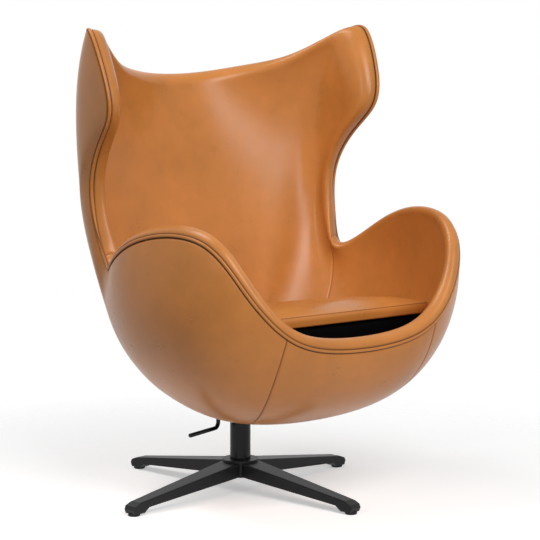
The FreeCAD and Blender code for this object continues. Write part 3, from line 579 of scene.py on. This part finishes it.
# Rows of the deck from the middle of its bottom to the middle of its top, as pillow takes them.
DECK_FOOT, DECK_TOP = .3668, .4334
DECK = [(DECK_FOOT, .060, share, 0) for share in (.03, .4, .8, 1)]
DECK += [(.3704, .044, 1, 0), (.385, .036, 1, .3), (.400, .030, 1, .5), (.416, .024, 1, .8)]
DECK += [(.4295, .018, 1, 1), (.4325, .020, 1, 1)]
DECK += [(DECK_TOP, .026, share, 1) for share in (1, .8, .4, .03)]


def pillow(name, profile, seam_rows=()):
    """A closed form on the plan. Each row has the front edge's height, an even inset, a share of the plan's
    size and a share of the slope; a single point closes the middle of the bottom and of the top."""
    z, inset, share, slope = np.array(profile).T
    scale = (1 - inset[:, None] / CUSHION_HALF) * share[:, None]
    xy = OUTLINE[:, None] * scale + [0, SEAT_Y]
    fall = SEAT_FALL * slope * (xy[..., 1] - SEAT_Y + CUSHION_HALF[1])
    rows = np.concatenate([xy, (z - fall)[..., None]], -1)
    points = np.concatenate([rows.reshape(-1, 3), rows[:, [0, -1]].mean(0)])
    index = np.arange(rows.shape[0] * rows.shape[1]).reshape(rows.shape[:2])
    after = np.roll(index, -1, 0)
    quads = np.stack([index[:, :-1], after[:, :-1], after[:, 1:], index[:, 1:]], -1).reshape(-1, 4)
    poles = np.full((2, len(index)), [[index.size], [index.size + 1]])
    bottom_fan = np.stack([after[:, 0], index[:, 0], poles[0]], -1)
    top_fan = np.stack([index[:, -1], after[:, -1], poles[1]], -1)
    # Seam rows are painted dark by the leather: seam lines with painted shade of their grooves.
    on_seam = np.isin(np.arange(len(z)), seam_rows) * np.ones((len(index), 1))
    seam = np.concatenate([on_seam.reshape(-1), [0, 0]])
    return add_mesh(name, points, quads.tolist() + bottom_fan.tolist() + top_fan.tolist(), seam)


deck = pillow("black_deck", DECK)

# %% [markdown]
# ## The cushion
# The loose cushion has a flat bottom, a band of boxing between two seams and a crowned top.
# It could be a bevelled slab, but then the boxing and its seams would be lost. So it is a stack of rows on
# the plan as well, with its own profile.

# %% Rows of the cushion
# Heights of the bottom and of the top seam at the front edge, and of the crown above that seam.
FOOT, TOP_SEAM, CROWN = 0.4385, 0.4640, 0.020
# Small steps up that keep the two rows at a seam apart.
FOOT_STEP, SEAM_STEP = 0.0002, 0.0005
# Insets of the bottom and of the seams, and how far the boxing stands out between them.
FOOT_INSET, SEAM_INSET, BOXING_BULGE = 0.013, 0.006, 0.004
# The slope that the boxing adds up to the top seam, and the top panel adds up to its middle.
BOXING_SLOPE, CROWN_SLOPE = 0.45, 0.6
BOTTOM_SHARES = (.03, .2, .4, .6, .8, .92, 1)
TOP_SHARES = (1, .985, .96, .92, .86, .78, .68, .56, .42, .28, .14, .03)
BOXING_STEPS = 9


def cushion_profile():
    """Rows up the cushion: the flat bottom, the boxing as half a sine wave, and the top as the square root of
    one less the cube of its share of the plan. Also gives the numbers of the two seam rows."""
    bottom = [(FOOT, FOOT_INSET, share, 1) for share in BOTTOM_SHARES]
    boxing = [(FOOT + FOOT_STEP + (TOP_SEAM - FOOT) * k, SEAM_INSET - BOXING_BULGE * math.sin(math.pi * k),
               1, 1 + BOXING_SLOPE * k)
              for k in np.linspace(0, 1, BOXING_STEPS)]
    top = [(TOP_SEAM + SEAM_STEP + CROWN * math.sqrt(1 - share ** 3), SEAM_INSET,
            share, 1 + BOXING_SLOPE + CROWN_SLOPE * (1 - share))
           for share in TOP_SHARES]
    return bottom + boxing + top, (len(bottom), len(bottom) + len(boxing) - 1)


profile, seam_rows = cushion_profile()
cushion = pillow("leather_cushion", profile, seam_rows)

# %% [markdown]
# ## Stuffing
# Stuffing swells the cushion's leather. That could be sculpted, but cloth under pressure swells by itself
# where nothing holds it. The seams and the part that lies on the deck are held still, and one step of
# Subdivision Surface rounds the rows off.

# %% Blow the cushion up
# Rows of the bottom that lie still on the deck.
RESTING_ROWS = range(4)
FRAMES = 20
PRESSURE, STRETCH_STIFFNESS, BEND_STIFFNESS = 4, 25, 4
# The movement is averaged over this many columns of the plan each way.
NEARBY = 14


def blow_up(obj, held_rows, rows):
    """Inflates a form as cloth for a few frames with some of its rows held, and keeps the result. The
    movement is averaged over nearby columns of the plan, so that no wrinkles gather at the middle."""
    held = obj.vertex_groups.new(name="held")
    row = np.arange(len(obj.data.vertices) - 2) % rows
    held.add(np.flatnonzero(np.isin(row, held_rows)).tolist(), 1.0, "REPLACE")
    cloth = obj.modifiers.new("cloth", "CLOTH")
    cloth.settings.vertex_group_mass = "held"
    cloth.settings.use_pressure = True
    cloth.settings.uniform_pressure_force = PRESSURE
    cloth.settings.tension_stiffness = STRETCH_STIFFNESS
    cloth.settings.compression_stiffness = STRETCH_STIFFNESS
    cloth.settings.bending_stiffness = BEND_STIFFNESS
    cloth.settings.effector_weights.gravity = 0
    cloth.point_cache.frame_start = 1
    cloth.point_cache.frame_end = FRAMES
    for number in range(1, FRAMES + 1):
        bpy.context.scene.frame_set(number)
    grown = obj.evaluated_get(bpy.context.evaluated_depsgraph_get())
    points, rest = np.empty((2, 3 * len(obj.data.vertices)), np.float32)
    grown.data.vertices.foreach_get("co", points)
    obj.data.vertices.foreach_get("co", rest)
    moved = (points - rest).reshape(-1, 3)[:-2].reshape(-1, rows, 3)
    even = np.mean([np.roll(moved, k, 0) for k in range(-NEARBY, NEARBY + 1)], 0)
    moved = np.concatenate([even.reshape(-1, 3), even[:, [0, -1]].mean(0)])
    obj.modifiers.remove(cloth)
    obj.data.vertices.foreach_set("co", rest + moved.reshape(-1))
    obj.data.update()
    bpy.context.scene.frame_set(1)
    print(obj.name, "rose by", float(moved[:, 2].max()), "m as it was blown up")


blow_up(cushion, [*RESTING_ROWS, *seam_rows], len(profile))
smooth = cushion.modifiers.new("smooth", "SUBSURF")
smooth.levels = smooth.render_levels = 1
print(cushion.name, "is smoothed once")

# %% [markdown]
# ## Shader arithmetic
# A finish is a sum of patterns. Its nodes could be added one by one, but a sum is easier to read as a sum.
# So a small class wraps a node's output, and its operators add Math nodes.

# %% Values
def plug(tree, socket, item):
    """Links a value to a socket, or sets the socket to a constant."""
    if isinstance(item, Value):
        tree.links.new(item.socket, socket)
    else:
        socket.default_value = item


class Value:
    """A node output that can be added, multiplied and so on, each time with a new Math node in its tree."""

    def __init__(self, tree, socket):
        self.tree, self.socket = tree, socket

    def math(self, operation, a, b):
        node = self.tree.nodes.new("ShaderNodeMath")
        node.operation = operation
        plug(self.tree, node.inputs[0], a)
        plug(self.tree, node.inputs[1], b)
        return Value(self.tree, node.outputs[0])

    def __add__(self, other):
        return self.math("ADD", self, other)

    def __radd__(self, other):
        return self.math("ADD", other, self)

    def __sub__(self, other):
        return self.math("SUBTRACT", self, other)

    def __rsub__(self, other):
        return self.math("SUBTRACT", other, self)

    def __mul__(self, other):
        return self.math("MULTIPLY", self, other)

    def __rmul__(self, other):
        return self.math("MULTIPLY", other, self)

    def __truediv__(self, other):
        return self.math("DIVIDE", self, other)

    def __rtruediv__(self, other):
        return self.math("DIVIDE", other, self)

    def clamp(self):
        """The value kept between 0 and 1."""
        low = self.math("MINIMUM", self, 1.0)
        return low.math("MAXIMUM", low, 0.0)


print("values can be added, taken away, multiplied and divided")

# %% Materials
# A Mix node has sockets for every kind of data. These are its factor, its two colours and its result.
MIX_FACTOR, MIX_A, MIX_B, MIX_RESULT = 0, 6, 7, 2


class Material:
    """A material whose nodes are added by type, with constants or values on their sockets."""

    def __init__(self, name):
        self.data = bpy.data.materials.new(name)
        self.data.use_nodes = True
        self.tree = self.data.node_tree
        self.shader = self.tree.nodes["Principled BSDF"]
        self.surface = self.tree.nodes["Material Output"].inputs["Surface"]

    def node(self, kind, output=0, settings=None, sockets=None, **inputs):
        """A new node: its settings first, then its sockets by number, then its inputs by name."""
        node = self.tree.nodes.new("ShaderNode" + kind)
        for key, item in (settings or {}).items():
            setattr(node, key, item)
        for number, item in (sockets or {}).items():
            plug(self.tree, node.inputs[number], item)
        for key, item in inputs.items():
            plug(self.tree, node.inputs[key.replace("_", " ")], item)
        return Value(self.tree, node.outputs[output])

    def set(self, **inputs):
        """Sets or links the main shader's inputs by name."""
        for key, item in inputs.items():
            plug(self.tree, self.shader.inputs[key.replace("_", " ")], item)

    def mix(self, factor, a, b):
        """Colour a turned into colour b by a factor from 0 to 1."""
        sockets = {MIX_FACTOR: factor, MIX_A: a, MIX_B: b}
        return self.node("Mix", MIX_RESULT, {"data_type": "RGBA"}, sockets)


print("materials so far:", len(bpy.data.materials))

# %% [markdown]
# ## Leather
# The leather is a warm tan, clouded by slow noise as aniline leather is, with a fine grain and dark seams,
# whose darkness is partly painted shade of their grooves.
# It could be one flat colour, but the clouding is what makes it read as hide under soft light.

# %% Tan leather
TAN = (0.55, 0.200, 0.044)
DARKER = (0.70, 0.73, 0.70)
LIGHTER = (1.16, 1.16, 1.16)
# The seams' colour: a dark seam line and painted shade in the groove.
SEAM_AND_GROOVE_SHADE_COLOUR = (0.09, 0.030, 0.009, 1)
# How much the seam's colour, partly painted shade, covers the hide's, and how much rougher leather is at a
# seam.
SEAM_AND_GROOVE_SHADE_COVER, SEAM_ROUGHER = 0.85, 0.5
# Strength of the wide clouds and of the smaller patches in the colour.
CLOUDING, PATCHING = 1.1, 0.4
ROUGHNESS, ROUGHNESS_SWING, LEATHER_SHINE = 0.30, 0.14, 0.30
# Shares of the creases and of the pores in the grain, the strength of its bump and its depth.
GRAIN_SHARE, PORE_SHARE, GRAIN_STRENGTH, GRAIN_DEPTH = 0.6, 0.4, 0.10, 0.0006


def tinted(colour, factors):
    """A colour multiplied channel by channel, as an opaque one."""
    return (*(c * f for c, f in zip(colour, factors)), 1)


def leather(name, colour):
    """Two noises about their mean of a half shade the hide from dark to light, and seams cover it with their
    own dark colour, partly painted shade of the groove. Cells and pores add up to the grain."""
    m = Material(name)
    point = m.node("TexCoord", "Object")
    seam = m.node("Attribute", "Fac", {"attribute_name": "seam"})
    cloud = m.node("TexNoise", Vector=point, Scale=5.0, Detail=4.0, Roughness=0.6)
    patch = m.node("TexNoise", Vector=point, Scale=23.0, Detail=3.0, Roughness=0.55)
    cells = m.node("TexVoronoi", Vector=point, Scale=420.0)
    pores = m.node("TexNoise", Vector=point, Scale=900.0, Detail=2.0)
    shade = ((cloud - 0.5) * CLOUDING + (patch - 0.5) * PATCHING + 0.5).clamp()
    hide = m.mix(shade, tinted(colour, DARKER), tinted(colour, LIGHTER))
    m.set(Base_Color=m.mix((seam * SEAM_AND_GROOVE_SHADE_COVER).clamp(), hide, SEAM_AND_GROOVE_SHADE_COLOUR))
    m.set(Roughness=(ROUGHNESS + (patch - 0.5) * ROUGHNESS_SWING + seam * SEAM_ROUGHER).clamp())
    m.set(Specular_IOR_Level=LEATHER_SHINE)
    grain = cells * GRAIN_SHARE + pores * PORE_SHARE
    m.set(Normal=m.node("Bump", Height=grain, Strength=GRAIN_STRENGTH, Distance=GRAIN_DEPTH))
    return m.data


tan = leather("tan leather", TAN)
print(tan.name, len(tan.node_tree.nodes), "nodes")

# %% [markdown]
# ## Hard parts and cloth
# Powder coat, gloss paint, plastic and cloth are all nearly black, and their shine tells them apart.
# A constant roughness would look like new plastic everywhere, so a fine noise varies it a little.

# %% Plain finishes
SPECK_SCALE, SPECK_ROUGHNESS, SPECK_DEPTH = 500.0, 0.12, 0.0005


def plain(name, colour, roughness, metallic=0.0, grain=0.0, shine=0.5):
    """One colour whose roughness swings with a fine noise about its mean of a half. The noise may also raise
    a grain."""
    m = Material(name)
    point = m.node("TexCoord", "Object")
    m.set(Base_Color=(*colour, 1), Metallic=metallic, Specular_IOR_Level=shine)
    speck = m.node("TexNoise", Vector=point, Scale=SPECK_SCALE, Detail=2.0)
    m.set(Roughness=(roughness + (speck - 0.5) * SPECK_ROUGHNESS).clamp())
    if grain:
        m.set(Normal=m.node("Bump", Height=speck, Strength=grain, Distance=SPECK_DEPTH))
    return m.data


def wear(obj, material):
    """Gives an object one material."""
    obj.data.materials.clear()
    obj.data.materials.append(material)


finishes = {
    "black_coat": plain("satin black", (0.010, 0.010, 0.011), 0.42, grain=0.06, shine=0.2),
    "black_tube": plain("gloss black", (0.004, 0.004, 0.005), 0.20, shine=0.2),
    "black_plastic": plain("black plastic", (0.010, 0.010, 0.010), 0.5, shine=0.25),
    "black_fabric": plain("black cloth", (0.002, 0.002, 0.002), 0.95, grain=0.3, shine=0.05),
    "nylon": plain("nylon", (0.6, 0.58, 0.52), 0.5),
    "steel": plain("zinc steel", (0.5, 0.5, 0.5), 0.35, 1.0),
    "rubber": plain("rubber", (0.02, 0.02, 0.02), 0.7),
    "fibreglass": plain("fibreglass", (0.45, 0.42, 0.34), 0.6),
    "plywood": plain("plywood", (0.35, 0.22, 0.11), 0.6),
}
slot_of = {s["node"]: s["material_slot"] for s in frame["record"]["subparts"]}
for node_name, node in frame["nodes"].items():
    if slot_of[node_name] in finishes:
        wear(node, finishes[slot_of[node_name]])
print("finishes:", len(finishes))

# %% [markdown]
# ## What stands for what
# Each sheet of leather stands for its CAD panel, and the linings stand for the foam and the edge rolls too,
# because the padding is never seen by itself. All of it moves with the shell.

# %% Pieces and the nodes they stand for
def padding(*places):
    """The names of the foam pads and the edge rolls at these places of the rim."""
    return [f"{kind}_{where}" for kind in ("foam", "edge_roll") for where in places]


stands_for = [
    (outer_front, ["outer_cover_front"]),
    (outer_right, ["outer_cover_right"]),
    (outer_left, ["outer_cover_left"]),
    (welt, ["rim_welt"]),
    (inner_back, ["inner_cover_back", *padding("back", "wing_left", "wing_right")]),
    (inner_seat, ["inner_cover_seat", *padding("front", "arm_left", "arm_right")]),
    (cushion, ["seat_cushion"]),
]
for obj, nodes in stands_for:
    wear(obj, tan)
    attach(obj, "shell")
    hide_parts(*nodes)
# The deck is coloured near black, which makes the dark gap below the cushion's front edge.
wear(deck, finishes["black_fabric"])
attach(deck, "shell")
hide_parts("seat_deck")
print("pieces on the shell:", len(stands_for) + 1)

# %% [markdown]
# ## Camera
# The photograph was taken from the front and the sitter's right, at less than standing eye height and with a
# long lens. A Track To constraint would centre the chair. Here the direction is built from the chair's turn,
# a small yaw off the column and a slight downward tilt, as they were fitted to the photograph.

# %% The photograph's camera
TURN, YAW, PITCH = math.radians(36.0), math.radians(0.806), math.radians(7.39)
DISTANCE, EYE_HEIGHT = 5.02, 1.18
# Focal length and sensor width in millimetres.
LENS, SENSOR = 143.33, 36.0
# Level directions across the picture and away from the camera.
ACROSS = Vector((math.cos(TURN), -math.sin(TURN), 0))
AHEAD = Vector((math.sin(TURN), math.cos(TURN), 0))
UP = Vector((0, 0, 1))


def add_camera():
    """A camera set back from the column, yawed about the vertical and then pitched down."""
    level = ACROSS * math.sin(YAW) + AHEAD * math.cos(YAW)
    right = ACROSS * math.cos(YAW) - AHEAD * math.sin(YAW)
    forward = level * math.cos(PITCH) - UP * math.sin(PITCH)
    turned = Matrix((right, right.cross(forward), -forward)).transposed().to_4x4()
    data = bpy.data.cameras.new("camera")
    data.lens = LENS
    data.sensor_width = SENSOR
    camera = place("camera", data)
    camera.matrix_world = Matrix.Translation(Vector(COLUMN) - AHEAD * DISTANCE + UP * EYE_HEIGHT) @ turned
    bpy.context.scene.camera = camera
    print("camera at", tuple(camera.matrix_world.translation))


add_camera()

# %% [markdown]
# ## Floor and world
# A studio sweep is white and keeps a soft shadow. A curved backdrop would do, but has to be lit evenly.
# Here a pale floor keeps the shadow and fades out into the white world away from the chair.
# Both look white to the camera and in reflections, and give little light or none.

# %% Floor and world
FLOOR_HALF = 9
FLOOR_COLOUR = (0.92, 0.92, 0.92, 1)
FLOOR_ROUGHNESS, FLOOR_GLOW = 0.9, 0.43
# The floor starts to fade at this distance from the middle, and is gone after this width.
FADE_FROM, FADE_WIDTH = 0.5, 0.8
WORLD_LIGHT = 0.10
BLACK, WHITE = (0, 0, 0, 1), (1, 1, 1, 1)


def seen_white(tree):
    """1 for rays that look at the background straight, in a mirror or through glass: the sum of the three
    kinds, kept to 1 at most. It is 0 for light that falls on things."""
    path = tree.nodes.new("ShaderNodeLightPath")
    kinds = ("Camera", "Glossy", "Transmission")
    camera, glossy, clear = [Value(tree, path.outputs[f"Is {kind} Ray"]) for kind in kinds]
    return (camera + glossy + clear).clamp()


def add_floor():
    """A square that turns clear from the fade's start to its end, by its distance from the middle."""
    mesh = bpy.data.meshes.new("floor")
    corners = [(x * FLOOR_HALF, y * FLOOR_HALF, 0) for x, y in ((-1, -1), (1, -1), (1, 1), (-1, 1))]
    mesh.from_pydata(corners, [], [(0, 1, 2, 3)])
    floor = place("floor", mesh)
    m = Material("white floor")
    m.set(Base_Color=FLOOR_COLOUR, Roughness=FLOOR_ROUGHNESS, Specular_IOR_Level=0.0)
    m.set(Emission_Color=m.mix(seen_white(m.tree), BLACK, WHITE), Emission_Strength=FLOOR_GLOW)
    point = m.node("TexCoord", "Object")
    far = m.node("VectorMath", "Value", {"operation": "LENGTH"}, {0: point})
    fade = ((far - FADE_FROM) / FADE_WIDTH).clamp()
    clear = m.node("BsdfTransparent")
    shaded = Value(m.tree, m.shader.outputs[0])
    plug(m.tree, m.surface, m.node("MixShader", sockets={0: fade, 1: shaded, 2: clear}))
    wear(floor, m.data)


def add_world():
    """White where it is seen, and a gentler white as light."""
    world = bpy.data.worlds.new("studio")
    world.use_nodes = True
    bpy.context.scene.world = world
    background = world.node_tree.nodes["Background"]
    background.inputs["Color"].default_value = WHITE
    level = seen_white(world.node_tree) * (1.0 - WORLD_LIGHT) + WORLD_LIGHT
    plug(world.node_tree, background.inputs["Strength"], level)


add_floor()
add_world()
print("floor of", 2 * FLOOR_HALF, "m and world light", WORLD_LIGHT)

# %% [markdown]
# ## Lamps
# Leather shows its shape by soft highlights, so each soft box stands where its reflection falls on a place
# that the photograph shows shining. A sky texture would light the chair evenly and hide them.
# The key stands in front to the right and lights the back and the cushion. The top one, to the left, draws
# the edges and the hollow of the seat, a narrow one on the left shines in the far wing, and one lower down on
# the right fills the front of the shell.

# %% Soft boxes
# The point on the column's line that all lamps are turned to.
AIM_HEIGHT = 0.55
AIM = Vector(COLUMN) + UP * AIM_HEIGHT
# Metres to the right of the chair, towards the camera and up, then the box's width and height, and watts.
LAMPS = {
    "key": (1.3, 2.7, 2.6, 1.8, 1.4, 74),
    "top": (-1.1, 0.35, 2.8, 1.2, 1.1, 32),
    "wing": (-1.9, 2.8, 1.85, 0.4, 0.9, 12),
    "right": (2.2, 2.4, 1.4, 1.0, 1.2, 26),
}


def add_lamp(name, right, towards, up, width, tall, power):
    """A soft box placed along the picture's own directions and turned to the aim point."""
    data = bpy.data.lights.new(name, "AREA")
    data.shape = "RECTANGLE"
    data.size = width
    data.size_y = tall
    data.energy = power
    lamp = place(name, data)
    spot = Vector(COLUMN) + ACROSS * right - AHEAD * towards + UP * up
    lamp.matrix_world = Matrix.Translation(spot) @ (spot - AIM).to_track_quat("Z", "Y").to_matrix().to_4x4()
    lamp.visible_camera = False


for name, numbers in LAMPS.items():
    add_lamp(name, *numbers)
bpy.context.scene.view_settings.view_transform = "Standard"
print("lamps:", ", ".join(LAMPS))
